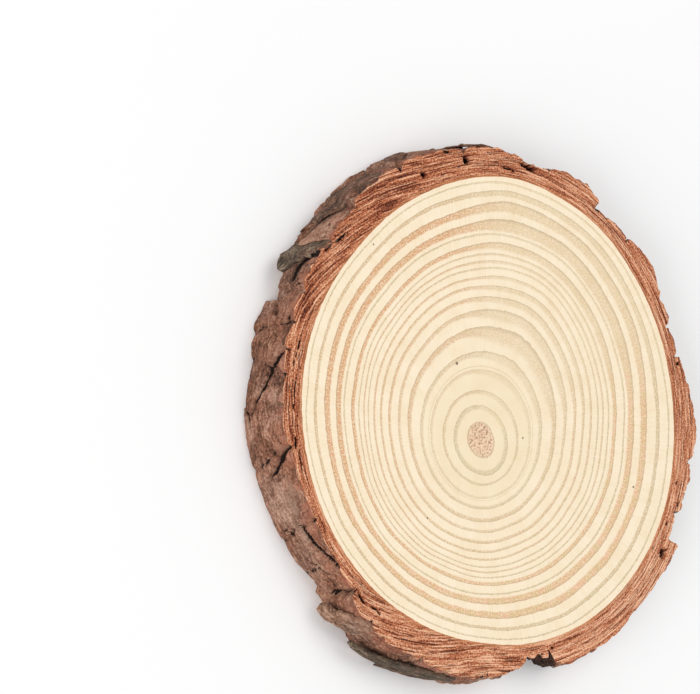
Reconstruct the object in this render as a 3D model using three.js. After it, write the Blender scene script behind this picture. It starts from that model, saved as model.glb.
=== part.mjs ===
// A slice sawn across a pine stem: pale wood with its scaly bark still on, grown together as one piece.
// Millimetres, +Z up. The slice lies on its back face, and the origin is the pith on that face.
import * as THREE from 'three';

const THICKNESS = 13;
const LEVELS = 6;
const POINT_SPACING = 2;

// Between two plates the bark splits in a V, this wide at its mouth and this deep
const FISSURE_WIDTH = 1.6;
const FISSURE_DEPTH = 1.5;

// The share of half a wave that the bark's bulge follows from the top cut down to the back face
const BULGE_REACH = 0.6;

// The plates of bark, anticlockwise around the pith. Each runs on to the start of the next.
// start: its angle in degrees, first/crown/last: how far its outside lies from the pith at the top cut,
// swell: how much further out it stands below that cut, lean: how far its start leans on the way down.
const PLATES = [
  { start: -6.5, first: 77.3, crown: 79.3, last: 78.6, swell: 1.0, lean: 2 },
  { start: 16, first: 77.4, crown: 78.3, last: 77.6, swell: 0.5, lean: 1 },
  { start: 23, first: 78.4, crown: 79.9, last: 80.2, swell: 1.5, lean: -2 },
  { start: 29, first: 81.2, crown: 84.2, last: 82.6, swell: 0.5, lean: 1 },
  { start: 43, first: 82.0, crown: 81.6, last: 80.4, swell: 1.5, lean: 3 },
  { start: 53, first: 83.2, crown: 84.6, last: 82.8, swell: 0.0, lean: -2 },
  { start: 66.5, first: 81.5, crown: 80.8, last: 80.5, swell: 1.5, lean: 1 },
  { start: 73, first: 81.0, crown: 82.0, last: 80.0, swell: 1.0, lean: 2 },
  { start: 88, first: 79.4, crown: 78.2, last: 76.6, swell: 1.5, lean: -3 },
  { start: 105, first: 76.0, crown: 74.4, last: 72.0, swell: 2.5, lean: 2 },
  { start: 119.5, first: 71.0, crown: 69.5, last: 67.5, swell: 5.0, lean: 3 },
  { start: 129, first: 67.0, crown: 67.0, last: 66.0, swell: 7.0, lean: 4 },
  { start: 143, first: 65.5, crown: 65.5, last: 64.6, swell: 3.5, lean: 1 },
  { start: 151, first: 64.2, crown: 64.0, last: 63.0, swell: 3.0, lean: 3 },
  { start: 163, first: 62.5, crown: 62.0, last: 60.5, swell: 3.5, lean: -4 },
  { start: 180, first: 59.8, crown: 58.5, last: 57.6, swell: 3.8, lean: 5 },
  { start: 199, first: 57.3, crown: 57.4, last: 57.0, swell: 3.2, lean: 4 },
  { start: 210, first: 57.0, crown: 57.4, last: 58.0, swell: 2.6, lean: 3 },
  { start: 220, first: 59.5, crown: 61.0, last: 61.6, swell: 3.0, lean: -3 },
  { start: 229, first: 62.0, crown: 62.3, last: 62.0, swell: 2.0, lean: 2 },
  { start: 246, first: 62.0, crown: 62.8, last: 63.0, swell: 1.2, lean: -2 },
  { start: 264, first: 63.0, crown: 62.6, last: 61.5, swell: 0.8, lean: 1 },
  { start: 279, first: 60.4, crown: 60.2, last: 61.0, swell: 1.5, lean: 1 },
  { start: 287, first: 64.8, crown: 66.3, last: 67.2, swell: 1.0, lean: 2 },
  { start: 299, first: 67.8, crown: 69.3, last: 70.0, swell: 0.5, lean: -2 },
  { start: 314, first: 70.2, crown: 72.2, last: 75.0, swell: 1.0, lean: 1 },
  { start: 334.5, first: 71.4, crown: 71.5, last: 72.2, swell: 1.5, lean: 0 },
  { start: 341.5, first: 73.4, crown: 75.4, last: 76.2, swell: 1.0, lean: -1 },
];

const { lerp, degToRad, radToDeg, euclideanModulo } = THREE.MathUtils;

const barkMaterial = new THREE.MeshStandardMaterial({ color: '#8a5f4a', roughness: 0.85, metalness: 0 });

const nextPlate = (index) => PLATES[(index + 1) % PLATES.length];

// The angle that a plate covers
const plateSpan = (index) => euclideanModulo(nextPlate(index).start - PLATES[index].start, 360);

function pointAt(degrees, radius) {
  const angle = degToRad(degrees);
  return new THREE.Vector2(radius * Math.cos(angle), radius * Math.sin(angle));
}

// One plate's stretch of the outline: the bottom of the fissure at its start, then its curved outside
function platePoints(plate, index) {
  const previous = PLATES.at(index - 1);
  const floor = Math.min(previous.last, plate.first) - FISSURE_DEPTH;
  const lip = radToDeg(FISSURE_WIDTH / 2 / plate.first);
  const span = plateSpan(index);
  const outside = new THREE.QuadraticBezierCurve(
    new THREE.Vector2(plate.start + lip, plate.first),
    new THREE.Vector2(plate.start + span / 2, 2 * plate.crown - (plate.first + plate.last) / 2),
    new THREE.Vector2(plate.start + span - lip, plate.last),
  );
  const steps = Math.max(3, Math.round(degToRad(span) * plate.crown / POINT_SPACING));
  const curved = outside.getPoints(steps).map((station) => pointAt(station.x, station.y));
  return [pointAt(plate.start, floor), ...curved];
}

// Where an angle lies: the plate it falls in, and how far along that plate
function plateAt(degrees) {
  const index = PLATES.findIndex((plate, i) => euclideanModulo(degrees - plate.start, 360) < plateSpan(i));
  return { index, along: euclideanModulo(degrees - PLATES[index].start, 360) / plateSpan(index) };
}

// The swell runs smoothly from the middle of one plate to the middle of the next
function swellAt(index, along) {
  const plate = PLATES[index];
  if (along < 0.5) {
    return lerp(PLATES.at(index - 1).swell, plate.swell, along + 0.5);
  }
  return lerp(plate.swell, nextPlate(index).swell, along - 0.5);
}

// Moves the sawn prism's wall, so that the bark bulges below the top cut and its fissures lean
function growBark(geometry) {
  const position = geometry.attributes.position;
  for (let i = 0; i < position.count; i += 1) {
    const depth = 1 - position.getZ(i) / THICKNESS;
    const degrees = radToDeg(Math.atan2(position.getY(i), position.getX(i)));
    const radius = Math.hypot(position.getX(i), position.getY(i));
    const { index, along } = plateAt(degrees);
    const swell = swellAt(index, along) * Math.sin(Math.PI * BULGE_REACH * depth);
    const lean = lerp(PLATES[index].lean, nextPlate(index).lean, along) * depth;
    const moved = pointAt(degrees + lean, radius + swell);
    position.setXY(i, moved.x, moved.y);
  }
  geometry.computeVertexNormals();
  return geometry;
}

const sawnOutline = new THREE.Shape(PLATES.flatMap(platePoints));
const sawnPrism = new THREE.ExtrudeGeometry(sawnOutline, {
  depth: THICKNESS,
  steps: LEVELS,
  bevelEnabled: false,
});

const woodSlice = new THREE.Mesh(growBark(sawnPrism), barkMaterial);
woodSlice.name = 'wood_slice';

const part = new THREE.Group();
part.add(woodSlice);

export default part;
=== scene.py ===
import math

import bmesh
import bpy
import numpy as np
from mathutils import Matrix, Vector, noise
from mathutils.bvhtree import BVHTree


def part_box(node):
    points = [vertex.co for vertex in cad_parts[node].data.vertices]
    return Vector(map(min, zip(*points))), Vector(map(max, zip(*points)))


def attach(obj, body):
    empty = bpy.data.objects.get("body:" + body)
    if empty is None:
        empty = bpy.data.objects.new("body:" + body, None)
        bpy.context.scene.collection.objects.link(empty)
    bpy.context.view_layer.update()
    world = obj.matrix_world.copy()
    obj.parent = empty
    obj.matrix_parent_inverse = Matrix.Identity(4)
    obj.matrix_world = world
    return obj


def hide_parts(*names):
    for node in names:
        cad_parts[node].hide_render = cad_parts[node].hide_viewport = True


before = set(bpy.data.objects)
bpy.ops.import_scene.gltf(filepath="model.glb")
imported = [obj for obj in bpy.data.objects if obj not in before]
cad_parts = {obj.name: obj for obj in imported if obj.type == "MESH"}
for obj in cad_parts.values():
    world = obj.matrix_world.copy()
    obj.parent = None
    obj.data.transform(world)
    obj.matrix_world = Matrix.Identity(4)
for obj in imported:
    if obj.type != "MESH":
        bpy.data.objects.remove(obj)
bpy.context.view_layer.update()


# The camera
# The slice lies flat and is looked down on, from the side and distance that the photograph's view of its
# sawn face gives: found from how far the rings are foreshortened, and in which direction.
MM = 0.001
IMAGE_WIDTH, IMAGE_HEIGHT = 700, 694
PITH_PIXEL = (480.5, 438.5)
FOCAL_PIXELS = 1900
PITH_DEPTH = 508
FACE_TILT = math.radians(38)
TILT_DIRECTION = math.radians(9)

slice_low, slice_high = (np.array(corner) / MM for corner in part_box("wood_slice"))
top_z = slice_high[2]

pith_right, pith_up = PITH_PIXEL[0] - IMAGE_WIDTH / 2, IMAGE_HEIGHT / 2 - PITH_PIXEL[1]
sight = Vector((pith_right, pith_up, -FOCAL_PIXELS)) / FOCAL_PIXELS
pith_seen = sight * PITH_DEPTH
towards_eye = -sight.normalized()
sideways = Vector((math.cos(TILT_DIRECTION), math.sin(TILT_DIRECTION), 0))
sideways = (sideways - sideways.dot(towards_eye) * towards_eye).normalized()
face_normal = math.cos(FACE_TILT) * towards_eye + math.sin(FACE_TILT) * sideways
face_up = (Vector((0, 1, 0)) - face_normal.y * face_normal).normalized()
face_right = face_up.cross(face_normal)
face_turn = Matrix((face_right, face_up, face_normal))
eye = face_turn @ -pith_seen + Vector((0, 0, top_z))

camera = bpy.data.objects.new("camera", bpy.data.cameras.new("camera"))
camera.data.sensor_width = 36
camera.data.lens = camera.data.sensor_width * FOCAL_PIXELS / IMAGE_WIDTH
camera.data.clip_start = 0.01
camera.matrix_world = Matrix.Translation(eye * MM) @ face_turn.to_4x4()
bpy.context.collection.objects.link(camera)
bpy.context.scene.camera = camera


# The stem: its growth rings
# A fast-grown pine that leaned, so its rings are wide on one side and narrow on the other. They start almost
# round, and the outer ones follow the outline under the bark, the cambium, given here by angle.
CAMBIUM = {
    0: 70.3, 25: 74.6, 50: 77.0, 75: 74.7, 100: 67.3, 125: 61.3, 150: 58.6, 180: 55.6,
    210: 53.8, 240: 53.0, 265: 53.8, 290: 57.7, 320: 63.4, 345: 68.2,
}

# The outline half-way out, as shares of its mean radius, which comes next: one side had started to grow
# faster. The rings are round up to the first of the two radii after it, and swing out fully from the second.
MIDDLE_RING = {0: 1.01, 30: 1.18, 57: 1.3, 80: 1.21, 125: 1.03, 180: 0.91, 240: 0.87, 290: 0.86, 320: 0.9}
MIDDLE_GROWTH = 30
ROUND_TO, FULL_FROM = 8, 28

# The pith and the first ring reach further out on one side: its angle, by how much, and the mean radii
# between which that fades
HEART_SIDE, HEART_REACH = 292, 1.1
HEART_FADE = (9, 12)

# Each ring's outer edge in millimetres of mean growth, on the narrow and on the wide side, how wide its dark
# latewood is on each, how strong that is, and how warm: 0 is grey, 1 is orange
RINGS = [
    (4.6, 4.6, 0.6, 0.6, 0.45, 0.9),
    (9.0, 9.0, 1.4, 1.4, 0.75, 0.1),
    (12.8, 12.8, 1.0, 1.3, 0.75, 0.3),
    (17.2, 17.2, 0.9, 1.5, 0.55, 0.3),
    (17.9, 17.9, 0.2, 0.25, 0.60, 0.1),
    (20.8, 20.8, 1.2, 1.9, 0.75, 0.2),
    (25.6, 25.6, 1.6, 3.3, 0.85, 0.5),
    (29.2, 29.4, 1.1, 2.6, 0.80, 0.4),
    (32.5, 32.5, 1.0, 1.8, 0.90, 0.6),
    (35.2, 35.2, 0.8, 1.4, 0.90, 0.5),
    (37.5, 37.5, 0.7, 0.9, 0.90, 0.6),
    (39.6, 39.6, 0.5, 0.6, 0.90, 0.2),
    (41.2, 41.2, 0.6, 0.8, 0.90, 0.5),
    (42.9, 42.9, 0.5, 0.7, 0.90, 0.2),
    (45.3, 45.8, 1.3, 2.1, 1.00, 0.9),
    (48.1, 48.1, 0.5, 0.6, 0.90, 0.1),
    (51.0, 52.0, 1.9, 3.2, 1.00, 1.0),
    (55.0, 56.5, 1.9, 2.7, 1.00, 1.0),
    (58.7, 59.5, 1.0, 1.7, 0.95, 0.3),
    (61.6, 61.7, 0.45, 0.6, 0.90, 0.1),
]

# The side where the rings are widest, how far from it that holds and how far it reaches, in degrees
WIDE_SIDE = 51
WIDE_CORE, WIDE_REACH = 20.7, 46

# How deep an amber the warm latewood is, by angle: deepest at the upper left
AMBER = {0: 0, 72: 0, 92: 0.75, 165: 0.8, 215: 0.35, 260: 0, 300: 0}

# A curve given by angle is rounded over this many degrees
ROUNDED_OVER = 23


def smooth(low, high, value):
    """0 below low, 1 above high, and an even slope between them."""
    share = np.clip((value - low) / (high - low), 0, 1)
    return share * share * (3 - 2 * share)


def around(stations, degrees):
    """A smooth closed curve through stations given by angle, read at these angles."""
    angles = np.array(sorted(stations), float)
    values = np.array([stations[angle] for angle in sorted(stations)], float)
    grid = np.arange(0, 360, 1.0)
    straight = np.interp(grid, angles, values, period=360)
    window = np.hanning(ROUNDED_OVER)
    rounded = np.convolve(np.tile(straight, 3), window / window.sum(), "same")[360:720]
    return np.interp(degrees, grid, rounded, period=360)


def wide_side(degrees):
    """1 where the rings are widest, falling to 0 on either side."""
    away = np.abs((degrees - WIDE_SIDE + 180) % 360 - 180)
    return 1 - smooth(WIDE_CORE, WIDE_REACH, away)


full_growth = around(CAMBIUM, np.arange(0, 360, 1.0)).mean()


def growth_radius(growth, degrees):
    """How far from the pith the wood of this mean radius lies, at these angles."""
    outer, middle = around(CAMBIUM, degrees) / full_growth, around(MIDDLE_RING, degrees)
    share = np.clip((growth - MIDDLE_GROWTH) / (full_growth - MIDDLE_GROWTH), 0, 1)
    swing = middle + share * (outer - middle) - 1
    facing = np.clip(np.cos(np.radians(degrees - HEART_SIDE)), 0, 1)
    reach = HEART_REACH * facing ** 2 * (1 - smooth(*HEART_FADE, growth))
    return growth * (1 + smooth(ROUND_TO, FULL_FROM, growth) * swing) + reach


# The bark's outside
# Thick plates of dead bark, split by fissures as the stem grew. The plates are the solid's own; here their
# edges are roughened, thin layers are flaked off their faces, and the cracks that show are opened.
COLUMNS = 1200
RIM_ROWS = 38
MEAN_RADIUS = 66

# The solid's wall is read at steps of this many degrees, and at this many heights a little inside its cuts
WALL_STEP = 0.5
WALL_HEIGHTS = 27
WALL_INSET = 0.05

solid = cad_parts["wood_slice"]
solid_tree = BVHTree.FromPolygons(
    [vertex.co / MM for vertex in solid.data.vertices],
    [polygon.vertices for polygon in solid.data.polygons],
)
cast_angles = np.arange(0, 360, WALL_STEP)
cast_heights = np.linspace(WALL_INSET, top_z - WALL_INSET, WALL_HEIGHTS)
solid_wall = np.array([
    [
        solid_tree.ray_cast(Vector((0, 0, z)), Vector((math.cos(a), math.sin(a), 0)))[3]
        for a in np.radians(cast_angles)
    ]
    for z in cast_heights
])

# The same wall with its fissures filled, to part the plates again along rougher lines
FISSURE_STEPS = range(-4, 5)
widest = np.max([np.roll(solid_wall, step, 1) for step in FISSURE_STEPS], 0)
filled_wall = np.min([np.roll(widest, step, 1) for step in FISSURE_STEPS], 0)

# How much of the wall has sprung away, by angle: at the upper left, where the flakes stand out. It is gone up
# to the first of these heights, and still holds from the second on.
HOLLOW = {0: 0, 110: 0, 118: 1.2, 123: 2.4, 143: 2.4, 147.5: 1.6, 152: 0}
LOOSE_HEIGHTS = (5, 12.5)
hollow = np.interp(cast_angles, list(HOLLOW), list(HOLLOW.values()), period=360)
hollow = hollow * (1 - smooth(*LOOSE_HEIGHTS, cast_heights[:, None]))
solid_wall = solid_wall - hollow
filled_wall = filled_wall - hollow


def read_wall(table, degrees, height):
    """Reads a table of the wall at these angles and heights."""
    across = (degrees % 360) / WALL_STEP
    up = (height - cast_heights[0]) / (cast_heights[1] - cast_heights[0])
    up = np.clip(up, 0, WALL_HEIGHTS - 1.001)
    column, row = across.astype(int) % len(cast_angles), up.astype(int)
    after = (column + 1) % len(cast_angles)
    side, rise = across % 1, up - row
    low = table[row, column] * (1 - side) + table[row, after] * side
    high = table[row + 1, column] * (1 - side) + table[row + 1, after] * side
    return low * (1 - rise) + high * rise


def on_stem(degrees, height, radius=MEAN_RADIUS):
    """Points on a cylinder about the pith, in millimetres."""
    angle = np.radians(degrees)
    return np.stack([radius * np.cos(angle), radius * np.sin(angle), height + 0 * angle], -1)


def rough(points, size, octaves=3, seed=0):
    """Uneven ground, about -1 to 1, with lumps of this size. Another seed gives other ground."""
    places = (points + seed).reshape(-1, 3)
    found = [noise.fractal(Vector(place) / size, 1.0, 2.0, octaves) for place in places]
    return np.array(found).reshape(points.shape[:-1])


def chance(number):
    """A number from 0 to 1 that looks random, the same for the same whole number."""
    return np.abs(np.sin(number * 12.99 + 312.92) * 43758.55) % 1


def from_spot(spot, degrees, height):
    """How far each place on the rim is from one angle and height, in millimetres."""
    side = np.radians((degrees - spot[0] + 180) % 360 - 180) * MEAN_RADIUS
    return np.hypot(side, height - spot[1])


def along_crack(route, degrees, height):
    """How far each place on the rim is from a crack, in millimetres: above 0 on the left, facing along it."""
    nearest = np.full(degrees.shape, np.inf)
    for (start_angle, start_z), (end_angle, end_z) in zip(route, route[1:]):
        side = np.radians((degrees - start_angle + 180) % 360 - 180) * MEAN_RADIUS
        rise = height - start_z
        run = math.radians(end_angle - start_angle) * MEAN_RADIUS
        climb = end_z - start_z
        share = np.clip((side * run + rise * climb) / (run * run + climb * climb), 0, 1)
        gap = np.hypot(side - share * run, rise - share * climb)
        signed = np.copysign(gap, run * rise - climb * side)
        nearest = np.where(gap < np.abs(nearest), signed, nearest)
    return nearest


# The cracks that show, as angle and height along each, with its width and depth, and how far the bark on its
# left has lifted
CRACKS = [
    ([(127.6, 6.0), (126.4, 8.8), (124.4, 11.6)], 0.9, 2.6, 0.0),
    ([(142.8, 8.0), (142.2, 10.4), (141.2, 12.2)], 0.35, 1.2, 0.5),
    ([(149.8, 7.8), (148.2, 6.2), (146.4, 4.8)], 0.9, 3.0, 0.4),
    ([(151.8, 10.8), (150, 11.5), (148.3, 11.7)], 0.5, 1.8, 0.3),
    (
        [
            (172, 3.4), (169.5, 5.0), (168.2, 6.0), (166, 7.2),
            (164, 8.0), (161.8, 8.8), (160.5, 10.2), (157.5, 13),
        ],
        0.7, 1.7, 0.5,
    ),
    ([(155.2, 6.4), (157.6, 7.6), (160.6, 7.2)], 0.3, 0.9, 0.3),
    ([(187.2, 5.6), (184.8, 8.0), (181.5, 10.4), (180, 12.4)], 0.9, 1.6, 0.4),
    ([(179.6, 11.6), (177.6, 10.4), (176.6, 9.0)], 0.3, 1.2, 0.2),
    ([(197.5, 9.0), (194.5, 9.5), (191.5, 9.8), (189, 10.6)], 1.6, 0.9, 0.3),
    ([(213.2, 12.8), (210, 11.6), (207.8, 10.8), (205, 9.7), (202.8, 9.2), (199, 8.2)], 0.6, 2.0, 0.8),
    ([(204, 5.6), (201.5, 5.2), (199.8, 4.0), (200.6, 2.4)], 0.3, 0.8, 0.3),
    ([(214.5, 10.0), (213.5, 8.6), (211.5, 7.2)], 0.35, 1.2, 0.4),
    ([(211, 8.4), (210.5, 6.6), (208.5, 5.5)], 0.3, 1.0, 0.3),
    ([(176, 2.6), (172.5, 2.2), (170.5, 0)], 0.4, 1.2, 0.4),
    ([(220.6, 13), (219.6, 10), (217.8, 6.6), (216.8, 3.5)], 0.45, 2.4, 0.5),
    ([(230, 11), (228.8, 6), (227.6, 0)], 0.9, 3.0, 0.0),
    ([(266, 13), (264.5, 8), (265.5, 3), (264, 0)], 0.5, 1.6, 0.4),
    ([(282.6, 13), (282.2, 7), (283.2, 0)], 2.6, 1.2, 0.0),
]

# A crack narrows to this share of its width at its tips, over this length. Its floor is painted with shade,
# but less so where it is wider than this, as light falls in. Its left side lifts over one distance and is
# painted with a highlight over a shorter one.
CRACK_TIP, CRACK_TAPER = 0.35, 3.5
DARK_WIDTH = 0.7
LIFT_REACH, LIP_REACH = 2.5, 0.8

# Plates that have sprung away at one end, as the angles of the held and the free end, how far the free end
# stands out, and how far it has slid over its neighbour
SPRUNG = [
    (110, 126, 0.7, 1.2),
    (129, 140.5, 0.6, 0.6),
    (246, 230.5, 0.7, 0.8),
    (66, 53.4, 0.9, 1.6),
    (318, 334, 0.9, 1.0),
    (287, 300, 0.6, 0.8),
    (30, 42.5, 0.6, 0.7),
    (23, 15, 0.6, 0.6),
    (0, -8, 0.6, 0.6),
]


def sprung(degrees, height):
    """How far out and how far round the loose plates have moved."""
    out, round_by = np.zeros((2, *degrees.shape))
    low_down = np.sin(np.pi * (0.15 + 0.6 * (1 - height / top_z)))
    for held, free, lift, slide in SPRUNG:
        share = ((degrees - held + 180) % 360 - 180) / (free - held)
        share = np.where(share < 1, np.clip(share, 0, 1), 0)
        out += lift * share ** 2 * low_down
        round_by += math.copysign(slide, free - held) * share ** 3 * low_down
    return out, np.degrees(round_by / MEAN_RADIUS)


# The thickness of one layer of scales, and where in a layer's share of the ground its broken edge lies
LAYER_STEP = 0.42
LAYER_EDGE = 0.84

# How far the plates' edges wander
WANDER = 1.2

# How rough the rim is by angle: its left side is calm, and so is its lower right
ROUGHNESS = {0: 1, 138: 1, 154: 0.28, 218: 0.28, 232: 1, 294: 1, 302: 0.45, 324: 0.45, 331: 1}

# How much paler or darker than the rest the rim is, by angle
RIM_PALER = {0: 0, 118: 0, 132: -0.08, 146: -0.06, 165: 0, 192: 0.06, 206: 0.2, 220: 0.2, 236: 0}

# How far the rim is undercut low down, by angle, and the heights between which that ends: under the tongue at
# the lower left
UNDERCUT = {0: 0, 213: 0, 219: 3.0, 230: 3.0, 236: 0}
UNDERCUT_HEIGHTS = (1.5, 7)

# Where painted shade darkens the bark in the one wide recess, at the bottom, and where it comes out of it
# again, how much further round that end is for each millimetre further down, and how dark the painted shade
# is
RECESS_START, RECESS_END = (278.0, 280.0), (287.0, 288.5)
RECESS_SLANT = 0.5
RECESS_SHADE = 0.64

# The chip of bark that still hangs over that recess: where it starts and ends, how far it stands out, and the
# heights between which it does
CHIP_START, CHIP_END = (279.0, 282.5), (286.4, 287.4)
CHIP_REACH = 1.5
CHIP_HEIGHTS = (8.5, 12)

# Where a plate has dropped off beside the widest flake, how deep that is, and how much earlier it starts for
# each millimetre further up
DROPPED_START, DROPPED_END = (136.4, 138.0), (143.0, 146.0)
DROPPED_DEPTH = 3.6
DROPPED_SLANT = 0.7

# Where the painted shadow in the gap under that flake ends, the heights between which it darkens, and how
# dark it is
GAP_END = (139.4, 140.6)
GAP_HEIGHTS = (2, 7)
GAP_SHADOW = 0.85

# How far the plates have parted along their fissures, by angle: on the lower right they hold together
PARTED = {0: 1, 302: 1, 309: -0.3, 319: -0.3, 326: 1}

rim_degrees, rim_height = np.meshgrid(
    np.arange(COLUMNS) * 360 / COLUMNS, np.linspace(top_z, 0, RIM_ROWS + 1),
)
rim_points = on_stem(rim_degrees, rim_height)
wander = np.degrees(rough(rim_points, 5, seed=40) * WANDER / MEAN_RADIUS)
at_angle = rim_degrees + wander
at_height = rim_height + rough(rim_points, 6, seed=80) * WANDER
wall = read_wall(filled_wall, at_angle, at_height)
fissure = wall - read_wall(solid_wall, at_angle, at_height)

# Layers a scale thick, each broken away from the one under it along a wandering edge
layer = 2.2 * rough(rim_points * (1, 1, 0.6), 12, seed=11) + 0.4 * rough(rim_points, 2.4, seed=30)
layer_number = np.floor(layer)
broken = layer - layer_number
layer_height = LAYER_STEP * (layer_number + smooth(LAYER_EDGE, 1.0, broken))
# The foot of each broken edge, where painted shade goes further down
layer_foot = smooth(0.6, LAYER_EDGE, broken) * (1 - smooth(LAYER_EDGE, 0.96, broken))

parted = smooth(-0.1, 0.2, rough(rim_points, 9, 2, seed=15)) * around(PARTED, rim_degrees)
crack, crack_depth, lifted, painted_lip_highlight = np.zeros((4, *wall.shape))
ragged = 1 + 0.5 * rough(rim_points, 1.6, seed=20)
for route, width, depth, lift in CRACKS:
    away = along_crack(route, rim_degrees + wander * 0.4, rim_height)
    from_end = np.minimum(*(from_spot(spot, rim_degrees, rim_height) for spot in (route[0], route[-1])))
    taper = CRACK_TIP + (1 - CRACK_TIP) * smooth(0, CRACK_TAPER, from_end)
    opened = 1 - smooth(0.5, 1.0, np.abs(away) / (width * ragged * taper))
    # The crack's floor is painted with shade
    crack = np.maximum(crack, opened * min(1, DARK_WIDTH / width))
    crack_depth = np.maximum(crack_depth, opened * depth)
    lifted += np.where(away > 0, lift * np.exp(-np.abs(away) / LIFT_REACH), 0)
    # The lifted lip gets a painted highlight
    painted_lip_highlight = np.maximum(painted_lip_highlight, np.where(away > 0, lift * np.exp(-np.abs(away) / LIP_REACH), 0))

# The ground: layers, lumps, grain, chipped edges and fissures, all by how rough the rim is at that angle.
# Then what has lifted, cracked, been undercut, dropped off or hangs over.
from_edge = np.minimum(rim_height, top_z - rim_height)
chipped = np.clip(rough(rim_points, 2.2, seed=60) + 0.1, 0, 1) * np.exp(-from_edge / 0.6)
sprung_out, sprung_round = sprung(at_angle, rim_height)
relief = around(ROUGHNESS, at_angle) * (
    layer_height + 0.3 * rough(rim_points, 4) + 0.12 * rough(rim_points, 0.9, 2, seed=30)
    - 0.5 * chipped - fissure * (0.25 + 0.75 * parted)
)
relief += lifted - crack_depth
relief -= around(UNDERCUT, rim_degrees) * (1 - smooth(*UNDERCUT_HEIGHTS, rim_height))
slanted = at_angle + DROPPED_SLANT * np.maximum(0, rim_height - top_z / 2)
dropped = smooth(*DROPPED_START, slanted) - smooth(*DROPPED_END, slanted)
relief -= DROPPED_DEPTH * dropped * (1 - smooth(*LOOSE_HEIGHTS, rim_height))
chip = smooth(*CHIP_START, at_angle) - smooth(*CHIP_END, at_angle)
relief += CHIP_REACH * chip * smooth(*CHIP_HEIGHTS, rim_height)
rim_radius = wall + relief + sprung_out
rim_turned = rim_degrees + sprung_round

# Painted shade, as how dark each place is: in the cracks, the recess, the gap under the flake, and a little
# at a layer's foot and in the fissures
shadow_under_flake = smooth(*DROPPED_START, slanted) - smooth(*GAP_END, slanted)
shadow_under_flake = GAP_SHADOW * smooth(*GAP_HEIGHTS, rim_height) * shadow_under_flake
recess_end = smooth(*RECESS_END, rim_degrees - RECESS_SLANT * (top_z - rim_height))
recess_shade = RECESS_SHADE * (smooth(*RECESS_START, rim_degrees) - recess_end)
layer_shade = np.clip(0.45 * layer_foot + 0.35 * fissure, 0, 1)
rim_painted_shade = np.max([crack, recess_shade, shadow_under_flake, layer_shade], 0)

# How pale it is: each layer has its own tone, and the lifted lips of the cracks get a painted highlight
rim_tone = 0.25 + 0.35 * chance(layer_number) + 0.35 * (0.5 + 0.5 * rough(rim_points, 14, seed=5))
rim_tone += around(RIM_PALER, rim_degrees) + 0.7 * painted_lip_highlight


# The sawn mesh
# One closed skin: the top face from the pith out to the cambium, its ring of sawn bark, the rim, and the same
# two on the back. The wood's rows of points lie along its growth rings, so a ring is a row.
TOP_BARK_ROWS, BACK_BARK_ROWS = 16, 6
WOOD, SAWN_BARK, OUTER_BARK = 0, 1, 2

# The last ring was still growing: how much of it there is, and the mean radius that it has at the bark
LAST_RING = 0.6
BARK_GROWTH = 63

# Gaps where the bark's layers have come apart on the sawn top: angle, distance from the pith, length, width
# and depth
GAPS = [
    (71.7, 79.5, 5.6, 1.9, 5.0),
    (76.6, 76.7, 6.0, 0.5, 1.4),
    (87.3, 76.3, 2.6, 2.4, 4.0),
    (99.0, 72.4, 2.2, 2.0, 3.4),
    (92.0, 78.2, 4.0, 0.4, 1.0),
    (126.5, 66.4, 5.0, 0.7, 1.6),
    (131.0, 67.0, 3.0, 0.8, 2.0),
    (150.0, 65.6, 3.0, 0.5, 1.2),
    (158.0, 60.6, 9.0, 0.3, 0.8),
    (168.0, 59.0, 10.0, 0.3, 0.8),
    (179.6, 58.2, 3.4, 0.8, 1.4),
    (184.6, 57.2, 8.0, 0.45, 1.4),
    (219.4, 58.3, 3.4, 0.9, 2.2),
    (223.2, 57.5, 4.0, 0.9, 2.2),
    (228.5, 57.0, 5.0, 0.5, 1.0),
    (283.4, 60.4, 3.2, 0.45, 1.6),
    (288.0, 60.2, 1.0, 0.8, 1.5),
    (331.0, 71.0, 3.4, 2.6, 4.5),
    (338.0, 69.6, 1.4, 0.9, 1.5),
    (343.0, 72.6, 3.0, 0.6, 1.2),
    (348.0, 71.4, 1.2, 0.8, 1.4),
    (14.8, 77.2, 0.9, 1.4, 1.8),
    (53.0, 80.8, 2.4, 0.7, 1.6),
]

# How far the bark's layers have shifted, by angle: they run alongside the wood, but turn outwards where the
# plates have sprung
SHIFT = {0: 0, 98: 0, 146: 12, 222: 12, 264: 0}

# How pale the sawn bark is, by angle: it dried paler on the lower right than on the upper left
SAWN_PALER = {
    0: 0.2, 40: 0.3, 75: 0.4, 95: -0.6, 120: -1.0, 150: -0.5,
    180: -0.6, 200: 0.5, 240: -0.1, 270: 0.8, 330: 1.5,
}

points = []
stored = {name: [] for name in ("ring", "growth", "wide", "amber", "depth", "layer", "tone", "crack", "moss")}


def add_points(places, **values):
    """Adds a row of points with their stored values and returns their numbers."""
    first = len(points)
    points.extend(places.tolist())
    for name, column in stored.items():
        column.extend(np.broadcast_to(values.get(name, 0), len(places)).tolist())
    return range(first, len(points))


fine_degrees = rim_degrees[0]
coarse_degrees = fine_degrees[::4]
cambium = around(CAMBIUM, fine_degrees) + 0.12 * rough(on_stem(fine_degrees, 0), 3)


def wood_rows(height):
    """The rows of one sawn face, out from the pith: one at the outside of each growth ring."""
    rows = []
    for number, (narrow_edge, wide_edge, *_) in enumerate(RINGS):
        growth = narrow_edge + (wide_edge - narrow_edge) * wide_side(coarse_degrees)
        wobble = (0.2 + 0.004 * growth) * rough(on_stem(coarse_degrees, growth, 4 + 0.5 * growth), 9, 2)
        radius = growth_radius(growth, coarse_degrees) + wobble
        rows.append(add_points(
            on_stem(coarse_degrees, height, radius), ring=number + 1, growth=growth,
            wide=wide_side(coarse_degrees), amber=around(AMBER, coarse_degrees),
        ))
    return rows


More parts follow.
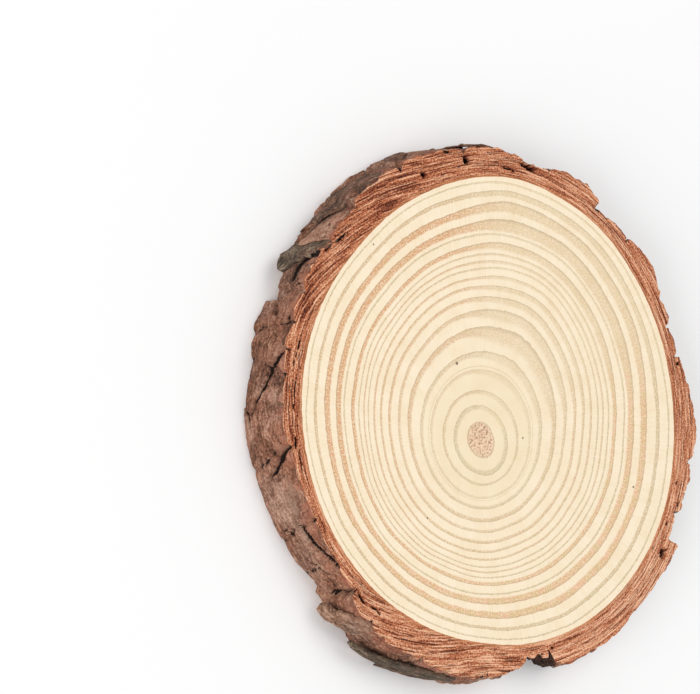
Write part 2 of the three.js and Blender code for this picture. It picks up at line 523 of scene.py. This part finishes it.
def bark_rows(height, downwards, count, edge, gaps):
    """The rows of one sawn ring of bark, from the cambium out to the row before the edge."""
    rows = []
    for share in np.linspace(0, 1, count + 1)[:-1]:
        radius = cambium + share * (edge - cambium)
        place = on_stem(fine_degrees, 0, radius)
        opened, sunk = np.zeros((2, COLUMNS))
        for angle, out, length, width, deep in gaps:
            side = np.radians((fine_degrees - angle + 180) % 360 - 180) * out
            bent = radius - out + 0.25 * width * rough(place, 1.5, 2)
            inside = 1 - smooth(0.8, 1.15, np.hypot(side / length * 2, bent / width * 2))
            opened = np.maximum(opened, inside)
            sunk = np.maximum(sunk, inside * deep)
        depth = radius - cambium
        sunk += np.abs(0.10 * rough(place, 0.9, 2, seed=(0, 0, 9))) * smooth(0.6, 2, depth)
        # A gap's floor carries painted shade, as its crack value
        rows.append(add_points(
            on_stem(fine_degrees, height - downwards * sunk, radius),
            ring=len(RINGS) + LAST_RING, growth=BARK_GROWTH, wide=wide_side(fine_degrees),
            depth=depth, layer=depth - around(SHIFT, fine_degrees), crack=opened,
            tone=around(SAWN_PALER, fine_degrees),
        ))
    return rows


top_wood = wood_rows(top_z)
top_bark = bark_rows(top_z, 1, TOP_BARK_ROWS, rim_radius[0], GAPS)
rim = [
    add_points(
        on_stem(rim_turned[row], rim_height[row], rim_radius[row]), depth=rim_radius[row] - cambium,
        layer=rim_radius[row] - cambium - around(SHIFT, fine_degrees),
        tone=rim_tone[row], crack=rim_painted_shade[row],
    )
    for row in range(RIM_ROWS + 1)
]
back_bark = bark_rows(0, -1, BACK_BARK_ROWS, rim_radius[-1], [])
back_wood = wood_rows(0)
top_pith = add_points(np.array([[0, 0, top_z]]))[0]
back_pith = add_points(np.array([[0, 0, 0]]))[0]

# Where each face lies on the flat map of the surface: the top as a large disc, the back as a small one beside
# it, the rim in four strips above them and the flakes in a block of small cells. Sizes are shares of the map.
MAP_EDGE, MAP_SPLIT = 0.005, 0.692
LARGE_DISC, SMALL_DISC = 0.68, 0.3
DISC_SPAN = 1.03 * max(slice_high[:2] - slice_low[:2])
DISC_MIDDLE = (slice_high[:2] + slice_low[:2]) / 2
STRIP_LENGTH, STRIP_HEIGHT = 0.99, 0.076
CELLS_FROM = 0.312
CELL_COLUMNS = 6
CELL_WIDTH, CELL_HEIGHT = 0.051, 0.052

# How much of a strip or a cell is used, the margin at a cell's ends, and how far a flake's tip is in it
FILLED, CELL_END, FLAKE_TIP = 0.96, 0.05, 0.03

faces, zone, spots = [], [], []


def on_top(point, here, turn, share):
    """A place on the map's large disc."""
    return tuple(MAP_EDGE + LARGE_DISC * ((np.array(points[point][:2]) - DISC_MIDDLE) / DISC_SPAN + 0.5))


def on_back(point, here, turn, share):
    """A place on the map's small disc."""
    x, y = SMALL_DISC * ((np.array(points[point][:2]) - DISC_MIDDLE) / DISC_SPAN + 0.5)
    return MAP_SPLIT + x, MAP_EDGE + y


def on_strip(point, here, turn, share):
    """A place on one of the map's four strips."""
    quarter = int(4 * here)
    along = MAP_EDGE + STRIP_LENGTH * (4 * turn - quarter)
    return along, MAP_SPLIT + STRIP_HEIGHT * (quarter + FILLED * share)


def add_face(corners, material):
    """Adds one face, given as point numbers and their places on the map."""
    faces.append([point for point, _ in corners])
    spots.extend(spot for _, spot in corners)
    zone.append(material)


def skin(rows, material, lay):
    """Joins rows of equal length, one after the other, with bands of quads."""
    count = len(rows[0])
    for number, (inner, outer) in enumerate(zip(rows, rows[1:])):
        low, high = number / (len(rows) - 1), (number + 1) / (len(rows) - 1)
        for at in range(count):
            here, there = at / count, (at + 1) / count
            after = (at + 1) % count
            corners = (
                (inner[at], here, low), (outer[at], here, high),
                (outer[after], there, high), (inner[after], there, low),
            )
            add_face([(point, lay(point, here, turn, share)) for point, turn, share in corners], material)


def close(middle, row, material, lay, tip=0, base=0):
    """Closes a row with a fan of triangles about one point, the tip."""
    count = len(row)
    for at in range(count):
        here, there = at / count, (at + 1) / count
        after = (at + 1) % count
        corners = ((middle, (here + there) / 2, tip), (row[at], here, base), (row[after], there, base))
        add_face([(point, lay(point, here, turn, share)) for point, turn, share in corners], material)


def widen(inner, outer, material, lay):
    """Joins a coarse row to a row with four times its points."""
    for at in range(len(inner)):
        near, far = inner[at], inner[(at + 1) % len(inner)]
        fine = [outer[(4 * at + step) % len(outer)] for step in range(5)]
        for corners in (
            (near, fine[0], fine[1]), (near, fine[1], fine[2]), (near, fine[2], far),
            (far, fine[2], fine[3]), (far, fine[3], fine[4]),
        ):
            add_face([(point, lay(point, 0, 0, 0)) for point in corners], material)


close(top_pith, top_wood[0], WOOD, on_top)
skin(top_wood, WOOD, on_top)
widen(top_wood[-1], top_bark[0], WOOD, on_top)
skin(top_bark + rim[:1], SAWN_BARK, on_top)
skin(rim, OUTER_BARK, on_strip)
skin(back_bark + rim[-1:], SAWN_BARK, on_back)
widen(back_wood[-1], back_bark[0], WOOD, on_back)
skin(back_wood, WOOD, on_back)
close(back_pith, back_wood[0], WOOD, on_back)


# Loose flakes
# Tongues of dead bark that still hold at one end, where the layers have sprung apart: long ones at the upper
# left and lower left, short upright ones on the far rim. Each is a flat, ragged tube, sunk in at one end.
FLAKE_LOOP = 22
FLAKE_STEP = 0.9

# Angle and height of the held end and of the free end, width, lift, thickness, tone (0 dark, 1 pale) and how
# green-grey it is
FLAKES = [
    ((109, 11.0), (127.0, 6.0), 8.4, 1.6, 1.5, 0.30, 0.25),
    ((114, 11.2), (124, 8.6), 3.4, 1.0, 0.9, 0.55, 0.0),
    ((123.5, 10.8), (140.4, 6.2), 8.8, 1.6, 1.9, 0.25, 0.6),
    ((120.5, 11.4), (133.5, 7.6), 6.0, 1.4, 0.9, 0.90, 0.0),
    ((127, 12.2), (136.2, 10.8), 2.4, 1.0, 0.8, 0.30, 0.5),
    ((232, 13.0), (219.2, 4.4), 6.2, 1.9, 1.5, 0.62, 0.25),
    ((271, 8.2), (230.0, 5.8), 6.4, 1.4, 1.6, 0.15, 0.65),
    ((262, 4.6), (240, 2.6), 4.6, 1.2, 1.0, 0.20, 0.4),
]

# The far rim's flakes: how many, where they start and how far round they reach
FAR_FLAKES = 26
FAR_START, FAR_SPAN = 292, 176
spread = np.random.default_rng(12)
for number in range(FAR_FLAKES):
    angle = FAR_START + (number + spread.random()) * FAR_SPAN / FAR_FLAKES
    height = spread.uniform(3, 7.2)
    reach = spread.uniform(5, 10) * spread.choice((-1, 1))
    slant = spread.uniform(-5, 5)
    FLAKES.append((
        (angle, height - reach / 2), (angle + slant, height + reach / 2),
        spread.uniform(5, 9), spread.uniform(0.3, 0.9), spread.uniform(0.5, 0.9),
        spread.uniform(0.25, 0.7), max(0, spread.uniform(-0.5, 0.35)),
    ))


def add_flake(number, held, free, width, lift, thickness, tone, moss):
    """Adds one loose flake, which follows the wall and lifts off it towards its free end."""
    run = math.radians(free[0] - held[0]) * MEAN_RADIUS
    climb = free[1] - held[1]
    length = math.hypot(run, climb)
    share = np.linspace(0, 1, max(8, round(length / FLAKE_STEP)))[:, None]

    # A flat loop with ragged sides that narrows towards the free end
    loop = np.arange(FLAKE_LOOP) * 2 * np.pi / FLAKE_LOOP
    across, outside = np.cos(loop), np.copysign(np.abs(np.sin(loop)) ** 0.4, np.sin(loop))
    half = width / 2 * np.sqrt(1.06 - share ** 3)
    grain = np.stack(np.broadcast_arrays(share * length / 4, across * half / 0.8, 40.0 * number + 3), -1)
    ragged = 1 + 0.4 * rough(grain * (2.2, 0.2, 1), 1, 3)
    side = across * half * ragged
    height = np.clip(held[1] + share * climb + side * run / length, 0.3, top_z - 0.3)
    degrees = held[0] + np.degrees((share * run - side * climb / length) / MEAN_RADIUS)

    # It thins towards the free end, and dips into the wall at the held end
    thick = thickness * (1 - 0.5 * share ** 2)
    bed = read_wall(filled_wall, degrees, height) + 0.3
    streaks = 0.2 * rough(grain, 1) * (outside > 0)
    radius = bed + lift * share ** 1.8 - thickness * (1 - share) ** 2 + outside * thick / 2 + streaks
    rows = [
        add_points(
            on_stem(degrees[row], height[row], radius[row]),
            tone=np.clip(tone + 0.5 * rough(grain[row], 1), 0, 1), moss=moss,
            # Painted shade: the crack value is high on the flake's underside and raised a little along its
            # edges
            crack=np.where(outside < -0.3, 0.6, 0.25 * (np.abs(across) > 0.9)),
        )
        for row in range(len(share))
    ]
    ends = [
        add_points(on_stem(degrees[row], height[row], radius[row]).mean(0)[None], tone=tone, moss=moss)[0]
        for row in (0, -1)
    ]

    def in_cell(point, here, turn, along):
        """A place in this flake's cell of the map."""
        column, row = number % CELL_COLUMNS, number // CELL_COLUMNS
        up = row + CELL_END + (1 - 2 * CELL_END) * along
        return MAP_SPLIT + CELL_WIDTH * (column + FILLED * turn), CELLS_FROM + CELL_HEIGHT * up

    skin(rows, OUTER_BARK, in_cell)
    close(ends[0], rows[0], OUTER_BARK, in_cell, tip=-FLAKE_TIP, base=0)
    close(ends[1], rows[-1], OUTER_BARK, in_cell, tip=1 + FLAKE_TIP, base=1)


for number, flake in enumerate(FLAKES):
    add_flake(number, *flake)

mesh = bpy.data.meshes.new("wood_slice")
mesh.from_pydata((np.array(points) * MM).tolist(), [], faces)
for name, column in stored.items():
    mesh.attributes.new(name, "FLOAT", "POINT").data.foreach_set("value", np.array(column, np.float32))
mesh.polygons.foreach_set("material_index", zone)
bake_map = mesh.uv_layers.new(name="OFBake")
bake_map.data.foreach_set("uv", np.array(spots, np.float32).ravel())
mesh.shade_smooth()

# The saw left sharp corners between its cuts and the bark's outside
shaped = bmesh.new()
shaped.from_mesh(mesh)
bmesh.ops.recalc_face_normals(shaped, faces=shaped.faces)
for corner in shaped.edges:
    corner.smooth = len({face.material_index for face in corner.link_faces} | {WOOD}) < 3
shaped.to_mesh(mesh)
shaped.free()

wood_slice = bpy.data.objects.new("pine_slice", mesh)
bpy.context.collection.objects.link(wood_slice)
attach(wood_slice, "root")
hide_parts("wood_slice")


# Sawn pine, sanded
# Cream earlywood with tan latewood bands, made of cells too small to see one by one, so a band looks
# stippled. The surface is dry and matt.
def linear(colour):
    """A hex sRGB colour as Blender's linear one."""
    parts = [int(colour[at:at + 2], 16) / 255 for at in (1, 3, 5)]
    return tuple(c / 12.92 if c <= 0.04045 else ((c + 0.055) / 1.055) ** 2.4 for c in parts) + (1,)


def node(tree, kind, links=None, **settings):
    """Adds a shader node, sets its properties and joins or sets its inputs."""
    made = tree.nodes.new("ShaderNode" + kind)
    for name, value in settings.items():
        setattr(made, name, value)
    for name, value in (links or {}).items():
        socket = made.inputs[name]
        if isinstance(value, bpy.types.NodeSocket):
            tree.links.new(value, socket)
        else:
            socket.default_value = value
    return made


def new_material(name):
    """An empty material, and the tree to build it in."""
    made = bpy.data.materials.new(name)
    made.use_nodes = True
    made.node_tree.nodes.clear()
    return made, made.node_tree


def find_places(tree):
    """Where each place is, in millimetres, and which way it lies from the pith."""
    place = node(tree, "TexCoord").outputs["Object"]
    millimetres = node(tree, "VectorMath", {0: place, "Scale": 1 / MM}, operation="SCALE").outputs[0]
    flat = node(tree, "VectorMath", {0: place, 1: (1, 1, 0)}, operation="MULTIPLY").outputs[0]
    return millimetres, node(tree, "VectorMath", {0: flat}, operation="NORMALIZE").outputs[0]


def set_stops(ramp, stops):
    """Gives a colour ramp these stops, as places and colours."""
    elements = ramp.color_ramp.elements
    while len(elements) < len(stops):
        elements.new(1.0)
    for element, (place, colour) in zip(elements, stops):
        element.position = place
        element.color = colour
    return ramp


sawn_pine, tree = new_material("sawn_pine")

# Its patterns' sizes in millimetres: the cells' stipple, the rings' waver and the drift of their colour
STIPPLE, WAVER, DRIFT = 0.45, 1.6, 2.5
ring, growth, wide, amber = (
    node(tree, "Attribute", attribute_name=name).outputs["Fac"]
    for name in ("ring", "growth", "wide", "amber")
)
millimetres, facing = find_places(tree)
grain = node(tree, "TexNoise", {"Vector": millimetres, "Scale": 1 / STIPPLE, "Detail": 2.0}).outputs["Fac"]
waver = node(tree, "TexNoise", {"Vector": millimetres, "Scale": 1 / WAVER, "Detail": 3.0}).outputs["Fac"]
waver = node(tree, "MapRange", {"Value": waver, "To Min": -0.08, "To Max": 0.08}).outputs[0]
ring = node(tree, "Math", {0: ring, 1: waver}, operation="ADD").outputs[0]
counted = node(tree, "Math", {0: ring}, operation="FLOOR").outputs[0]
within = node(tree, "Math", {0: ring}, operation="FRACT").outputs[0]

# Each ring's latewood, as shares of the ring: red on the narrow side, green on the wide side. Blue is its
# strength. A ramp has room for 32 colours, and a ring's colour starts a little inside its slot.
RAMP_SLOTS, SLOT_INSET = 32, 0.02
shares, warmths = [], []
inside_narrow, inside_wide = 0, 0
for narrow_edge, wide_edge, narrow, broad, strength, warmth in RINGS:
    shares.append((narrow / (narrow_edge - inside_narrow), broad / (wide_edge - inside_wide), strength, 1))
    warmths.append((warmth, warmth, warmth, 1))
    inside_narrow, inside_wide = narrow_edge, wide_edge
counted = node(
    tree, "MapRange", {"Value": counted, "From Min": -0.5, "From Max": RAMP_SLOTS - 0.5},
).outputs[0]
by_ring = []
for colours in (shares, warmths):
    ramp = node(tree, "ValToRGB", {"Fac": counted})
    ramp.color_ramp.interpolation = "CONSTANT"
    colours.append((0, 0, 0, 1))
    set_stops(ramp, [((slot + SLOT_INSET) / RAMP_SLOTS, colour) for slot, colour in enumerate(colours)])
    by_ring.append(node(tree, "SeparateColor", {"Color": ramp.outputs["Color"]}).outputs)
(narrow, broad, strength), (warm, *_) = by_ring
late_share = node(tree, "Mix", {"Factor": wide, "A": narrow, "B": broad}).outputs[0]

# How far through its band a place is: below 0 in the earlywood, 0 to 1 across the latewood. The inner rings
# darken slowly to a thin grey line, the outer ones are even bands.
through = node(tree, "Math", {0: within, 1: 1.0}, operation="SUBTRACT").outputs[0]
through = node(tree, "Math", {0: through, 1: late_share}, operation="DIVIDE").outputs[0]
through = node(tree, "Math", {0: through, 1: 1.0}, operation="ADD").outputs[0]
soft = node(
    tree, "MapRange", {"Value": growth, "From Min": 43.0, "From Max": 47.0, "To Min": 0.4, "To Max": 0.12},
).outputs[0]
band = node(
    tree, "MapRange", {"Value": through, "From Min": -0.15, "From Max": soft},
    interpolation_type="SMOOTHSTEP",
).outputs[0]
stipple = node(
    tree, "MapRange", {"Value": grain, "From Min": 0.38, "From Max": 0.58, "To Min": 0.35, "To Max": 1.0},
).outputs[0]
band = node(tree, "Math", {0: band, 1: stipple}, operation="MULTIPLY").outputs[0]
band = node(tree, "Math", {0: band, 1: strength}, operation="MULTIPLY").outputs[0]
line = node(
    tree, "MapRange", {"Value": through, "From Min": 0.72, "From Max": 0.95, "To Max": 0.45},
).outputs[0]
line = node(tree, "Math", {0: line, 1: strength}, operation="MULTIPLY").outputs[0]

# The latewood is grey or warm, deeper on the amber side and paler on the wide side. The earlywood is a little
# duller around the pith.
tint = node(tree, "TexNoise", {"Vector": millimetres, "Scale": 1 / DRIFT, "Detail": 3.0}).outputs["Fac"]
warm_colour = set_stops(node(tree, "ValToRGB", {"Fac": tint}), [
    (0.38, linear("#dfc08e")), (0.50, linear("#e3b98b")), (0.62, linear("#eab995")),
]).outputs["Color"]
amber = node(tree, "Math", {0: amber, 1: warm}, operation="MULTIPLY").outputs[0]
pale = node(tree, "Math", {0: wide, 1: 0.85}, operation="MULTIPLY").outputs[0]
late_colour = linear("#cfc09b")
for factor, colour in ((warm, warm_colour), (amber, linear("#d99f6e")), (pale, linear("#e9d3ae"))):
    late_colour = node(
        tree, "Mix", {"Factor": factor, "A": late_colour, "B": colour}, data_type="RGBA",
    ).outputs["Result"]
heart = node(
    tree, "MapRange", {"Value": growth, "From Min": 14.0, "From Max": 24.0, "To Min": 0.6, "To Max": 0.0},
).outputs[0]
wood_colour = linear("#fdecd0")
for factor, colour in ((heart, linear("#f6e5c2")), (band, late_colour), (line, linear("#b3a184"))):
    wood_colour = node(
        tree, "Mix", {"Factor": factor, "A": wood_colour, "B": colour}, data_type="RGBA",
    ).outputs["Result"]

# Fine rays out from the pith, this far apart at the bark and this long, and cloudy patches of this size
RAY_GAP, RAY_LENGTH, PATCH = 0.5, 5.0, 5.0
around_stem = node(
    tree, "VectorMath", {0: facing, "Scale": MEAN_RADIUS / RAY_GAP}, operation="SCALE",
).outputs[0]
outwards = node(tree, "Math", {0: growth, 1: 1 / RAY_LENGTH}, operation="MULTIPLY").outputs[0]
outwards = node(tree, "CombineXYZ", {"Z": outwards}).outputs[0]
ray = node(tree, "VectorMath", {0: around_stem, 1: outwards}, operation="ADD").outputs[0]
ray = node(tree, "TexNoise", {"Vector": ray, "Scale": 1.0, "Detail": 2.0}).outputs["Fac"]
patch = node(tree, "TexNoise", {"Vector": millimetres, "Scale": 1 / PATCH, "Detail": 3.0}).outputs["Fac"]
uneven = node(tree, "Mix", {"Factor": 0.5, "A": ray, "B": patch}).outputs[0]
uneven = set_stops(node(tree, "ValToRGB", {"Fac": uneven}), [
    (0.35, linear("#f9f5ee")), (0.6, linear("#ffffff")),
]).outputs["Color"]
wood_colour = node(
    tree, "Mix", {"Factor": 1.0, "A": wood_colour, "B": uneven}, data_type="RGBA", blend_type="MULTIPLY",
).outputs["Result"]

# The pith is a soft brownish core with dark cells of this size, and a dark edge at this mean radius
PITH_CELL, PITH_EDGE = 0.55, 4.75
cells = node(tree, "TexNoise", {"Vector": millimetres, "Scale": 1 / PITH_CELL, "Detail": 3.0}).outputs["Fac"]
pith_colour = set_stops(node(tree, "ValToRGB", {"Fac": cells}), [
    (0.35, linear("#8f6850")), (0.44, linear("#dcb090")), (0.60, linear("#f1d4b4")),
]).outputs["Color"]
from_pith = node(tree, "Math", {0: growth, 1: cells}, operation="ADD").outputs[0]
core = node(
    tree, "MapRange", {"Value": from_pith, "From Min": 4.1, "From Max": 4.9, "To Min": 0.85, "To Max": 0.0},
).outputs[0]
edge = node(tree, "Math", {0: from_pith, 1: PITH_EDGE}, operation="SUBTRACT").outputs[0]
edge = node(tree, "Math", {0: edge}, operation="ABSOLUTE").outputs[0]
edge = node(
    tree, "MapRange", {"Value": edge, "From Min": 0.05, "From Max": 0.25, "To Min": 0.35, "To Max": 0.0},
).outputs[0]

# A few resin canals run straight through the slice and show as dark specks, given by angle, distance from the
# pith and size
SPECKS = [(106, 21.1, 0.34), (120, 59.8, 0.2), (359, 14.5, 0.22), (344, 55.0, 0.26), (226, 28.2, 0.2)]
across_face = node(tree, "VectorMath", {0: millimetres, 1: (1, 1, 0)}, operation="MULTIPLY").outputs[0]
speck = 0.0
for angle, radius, size in SPECKS:
    spot = tuple(on_stem(angle, 0, radius))
    away = node(tree, "VectorMath", {0: across_face, 1: spot}, operation="DISTANCE").outputs["Value"]
    dot = node(tree, "MapRange", {
        "Value": away, "From Min": size, "From Max": 1.6 * size, "To Min": 0.8, "To Max": 0.0,
    }).outputs[0]
    speck = node(tree, "Math", {0: speck, 1: dot}, operation="MAXIMUM").outputs[0]
for factor, colour in ((core, pith_colour), (edge, linear("#a9805f")), (speck, linear("#5a4638"))):
    wood_colour = node(
        tree, "Mix", {"Factor": factor, "A": wood_colour, "B": colour}, data_type="RGBA",
    ).outputs["Result"]
shader = node(tree, "BsdfPrincipled", {
    "Base Color": wood_colour, "Roughness": 0.62, "IOR": 1.45, "Specular IOR Level": 0.25,
})
node(tree, "OutputMaterial", {"Surface": shader.outputs[0]})
mesh.materials.append(sawn_pine)


# Sawn bark
# Layers of cork about a millimetre thick, cut across: red-brown, with dark lines between them and pale grit,
# and a smooth orange band of living bark next to the wood.
sawn_bark, tree = new_material("sawn_bark")

# Its patterns' sizes in millimetres. The streaks and lines are drawn out along the layers, where a millimetre
# counts as less.
STREAK, SEAM, SAWN_GRIT = 0.42, 0.9, 0.5
DRAWN_OUT = 0.038
depth, layer, tone, opened = (
    node(tree, "Attribute", attribute_name=name).outputs["Fac"]
    for name in ("depth", "layer", "tone", "crack")
)
millimetres, facing = find_places(tree)
across = node(tree, "CombineXYZ", {"Z": layer}).outputs[0]
along = node(tree, "VectorMath", {0: facing, "Scale": MEAN_RADIUS * DRAWN_OUT}, operation="SCALE").outputs[0]
laid = node(tree, "VectorMath", {0: along, 1: across}, operation="ADD").outputs[0]
streak = node(
    tree, "TexNoise", {"Vector": laid, "Scale": 1 / STREAK, "Detail": 4.0, "Roughness": 0.65},
).outputs["Fac"]
seam = node(
    tree, "TexNoise", {"Vector": laid, "Scale": 1 / SEAM, "Detail": 2.0, "Roughness": 0.6},
).outputs["Fac"]
seam = node(tree, "Math", {0: seam, 1: 0.5}, operation="SUBTRACT").outputs[0]
seam = node(tree, "Math", {0: seam}, operation="ABSOLUTE").outputs[0]
seam = node(
    tree, "MapRange", {"Value": seam, "From Min": 0.004, "From Max": 0.024, "To Min": 0.8, "To Max": 0.0},
).outputs[0]
grit = node(tree, "TexNoise", {"Vector": millimetres, "Scale": 1 / SAWN_GRIT, "Detail": 3.0}).outputs["Fac"]
mixed = node(tree, "Mix", {"Factor": 0.35, "A": streak, "B": grit}).outputs[0]
toned = node(tree, "Math", {0: tone, 1: 0.025, 2: mixed}, operation="MULTIPLY_ADD").outputs[0]
cork = set_stops(node(tree, "ValToRGB", {"Fac": toned}), [
    (0.41, linear("#532519")), (0.467, linear("#b1623f")),
    (0.525, linear("#d38d67")), (0.59, linear("#f6c3a0")),
]).outputs["Color"]
living = node(
    tree, "MapRange", {"Value": depth, "From Min": 0.1, "From Max": 1.2, "To Min": 0.55, "To Max": 0.0},
).outputs[0]
# Painted shade in the gaps, with a ragged edge of grit
crack_shade = node(tree, "Math", {0: grit, 1: 0.6, 2: opened}, operation="MULTIPLY_ADD").outputs[0]
crack_shade = node(tree, "MapRange", {"Value": crack_shade, "From Min": 0.6, "From Max": 0.85}).outputs[0]
for factor, colour in ((seam, "#43201a"), (living, "#c98558"), (crack_shade, "#1c100c")):
    cork = node(
        tree, "Mix", {"Factor": factor, "A": cork, "B": linear(colour)}, data_type="RGBA",
    ).outputs["Result"]
bump = node(tree, "Bump", {"Height": mixed, "Strength": 0.5, "Distance": 0.6 * MM}).outputs[0]
shader = node(tree, "BsdfPrincipled", {
    "Base Color": cork, "Roughness": 0.85, "Normal": bump, "Specular IOR Level": 0.2,
})
node(tree, "OutputMaterial", {"Surface": shader.outputs[0]})
mesh.materials.append(sawn_bark)


# Weathered bark
# Grey-brown to mauve plates with red-brown broken edges and painted shade in the fissures and cracks, each
# scale a little different. It is redder near the cut, and green-grey on some flakes.
outer_bark, tree = new_material("weathered_bark")

# Its patterns' sizes in millimetres: clouds of tone and of grey, grit and hair cracks. Then how far below the
# top cut it is redder.
CLOUD, GREY_CLOUD, RIM_GRIT, HAIR = 6.0, 13.0, 0.6, 7.0
RED_REACH = 4.5
tone, opened, moss = (
    node(tree, "Attribute", attribute_name=name).outputs["Fac"] for name in ("tone", "crack", "moss")
)
millimetres, facing = find_places(tree)
cloud = node(tree, "TexNoise", {"Vector": millimetres, "Scale": 1 / CLOUD, "Detail": 4.0}).outputs["Fac"]
grit = node(
    tree, "TexNoise", {"Vector": millimetres, "Scale": 1 / RIM_GRIT, "Detail": 4.0, "Roughness": 0.65},
).outputs["Fac"]
height = node(tree, "SeparateXYZ", {"Vector": millimetres}).outputs["Z"]

# Fibres this wide and this long run around the stem, and wander up and down by up to this much
FIBRE_WIDTH, FIBRE_LENGTH, FIBRE_WANDER = 0.5, 5.0, 6.0
around_stem = node(
    tree, "VectorMath", {0: facing, "Scale": MEAN_RADIUS / FIBRE_LENGTH}, operation="SCALE",
).outputs[0]
wandered = node(tree, "Math", {0: cloud, 1: FIBRE_WANDER, 2: height}, operation="MULTIPLY_ADD").outputs[0]
wandered = node(tree, "Math", {0: wandered, 1: 1 / FIBRE_WIDTH}, operation="MULTIPLY").outputs[0]
wandered = node(tree, "CombineXYZ", {"Z": wandered}).outputs[0]
fibre = node(tree, "VectorMath", {0: around_stem, 1: wandered}, operation="ADD").outputs[0]
fibre = node(
    tree, "TexNoise", {"Vector": fibre, "Scale": 1.0, "Detail": 3.0, "Roughness": 0.6},
).outputs["Fac"]

# How pale each place is, and the same in brown, grey and green
paleness = node(tree, "Mix", {"Factor": 0.45, "A": tone, "B": cloud}).outputs[0]
for fine, weight in ((grit, 0.28), (fibre, 0.2)):
    strong = node(tree, "MapRange", {"Value": fine, "From Min": 0.32, "From Max": 0.68}).outputs[0]
    paleness = node(tree, "Mix", {"Factor": weight, "A": paleness, "B": strong}).outputs[0]
plate = set_stops(node(tree, "ValToRGB", {"Fac": paleness}), [
    (0.30, linear("#3a241a")), (0.44, linear("#6f4836")),
    (0.54, linear("#94654f")), (0.70, linear("#bf967e")),
]).outputs["Color"]
grey = set_stops(node(tree, "ValToRGB", {"Fac": paleness}), [
    (0.30, linear("#382b24")), (0.50, linear("#846557")), (0.70, linear("#b79c8b")),
]).outputs["Color"]
green = set_stops(node(tree, "ValToRGB", {"Fac": paleness}), [
    (0.26, linear("#35302a")), (0.45, linear("#5d5a4c")), (0.70, linear("#9a9580")),
]).outputs["Color"]
greyed = node(
    tree, "TexNoise", {"Vector": millimetres, "Scale": 1 / GREY_CLOUD, "Detail": 2.0},
).outputs["Fac"]
greyed = node(
    tree, "MapRange", {"Value": greyed, "From Min": 0.45, "From Max": 0.62, "To Max": 0.4},
).outputs[0]
reddened = node(
    tree, "MapRange", {"Value": height, "From Min": top_z - RED_REACH, "From Max": top_z, "To Max": 0.7},
).outputs[0]
red_cloud = node(tree, "MapRange", {"Value": cloud, "From Min": 0.42, "From Max": 0.58}).outputs[0]
reddened = node(tree, "Math", {0: reddened, 1: red_cloud}, operation="MULTIPLY").outputs[0]

# Cracks get painted shade, with a ragged edge of grit, and hair cracks run through the plates as thin dark
# lines
hair = node(
    tree, "TexNoise", {"Vector": millimetres, "Scale": 1 / HAIR, "Detail": 3.0, "Distortion": 0.6},
).outputs["Fac"]
hair = node(tree, "Math", {0: hair, 1: 0.5}, operation="SUBTRACT").outputs[0]
hair = node(tree, "Math", {0: hair}, operation="ABSOLUTE").outputs[0]
hair = node(
    tree, "MapRange", {"Value": hair, "From Min": 0.002, "From Max": 0.008, "To Min": 0.5, "To Max": 0.0},
).outputs[0]
hair = node(tree, "Math", {0: hair, 1: cloud}, operation="MULTIPLY").outputs[0]
crack_shade = node(tree, "Math", {0: grit, 1: 0.6, 2: opened}, operation="MULTIPLY_ADD").outputs[0]
crack_shade = node(tree, "MapRange", {"Value": crack_shade, "From Min": 0.78, "From Max": 0.95}).outputs[0]
dark = node(tree, "Math", {0: opened, 1: 0.6}, operation="MULTIPLY").outputs[0]
dark = node(tree, "Math", {0: dark, 1: hair}, operation="MAXIMUM").outputs[0]
dark = node(tree, "Math", {0: dark, 1: crack_shade}, operation="MAXIMUM").outputs[0]
for factor, colour in (
    (greyed, grey), (reddened, linear("#a3614a")), (moss, green), (dark, linear("#21140f")),
):
    plate = node(
        tree, "Mix", {"Factor": factor, "A": plate, "B": colour}, data_type="RGBA",
    ).outputs["Result"]
ground = node(tree, "Mix", {"Factor": 0.5, "A": grit, "B": fibre}).outputs[0]
bump = node(tree, "Bump", {"Height": ground, "Strength": 0.8, "Distance": 0.8 * MM}).outputs[0]
shader = node(tree, "BsdfPrincipled", {
    "Base Color": plate, "Roughness": 0.88, "Normal": bump, "Specular IOR Level": 0.2,
})
node(tree, "OutputMaterial", {"Surface": shader.outputs[0]})
mesh.materials.append(outer_bark)


# The table
# A plain white sheet that the slice lies on.
bpy.ops.mesh.primitive_plane_add(size=12)
table = bpy.context.object
table.name = "table"
paper, tree = new_material("white_paper")
shader = node(tree, "BsdfPrincipled", {"Base Color": linear("#fdfdfd"), "Roughness": 0.9})
node(tree, "OutputMaterial", {"Surface": shader.outputs[0]})
table.data.materials.append(paper)


# The light
# A bright white room, with one large soft light above and a lower one on the camera's side.
room = bpy.data.worlds.new("white_room")
bpy.context.scene.world = room
room.use_nodes = True
room.node_tree.nodes["Background"].inputs["Color"].default_value = (1, 1, 1, 1)
room.node_tree.nodes["Background"].inputs["Strength"].default_value = 0.62
for name, place, size, watts in (
    ("overhead", (0.52, 0.78, 2.34), 1.8, 18.0),
    ("fill", (-1.88, -0.63, 0.75), 1.5, 23.0),
):
    lamp = bpy.data.objects.new(name, bpy.data.lights.new(name, "AREA"))
    lamp.data.size = size
    lamp.data.energy = watts
    lamp.location = place
    lamp.rotation_euler = Vector(place).to_track_quat("Z", "Y").to_euler()
    bpy.context.collection.objects.link(lamp)
bpy.context.scene.view_settings.view_transform = "Standard"
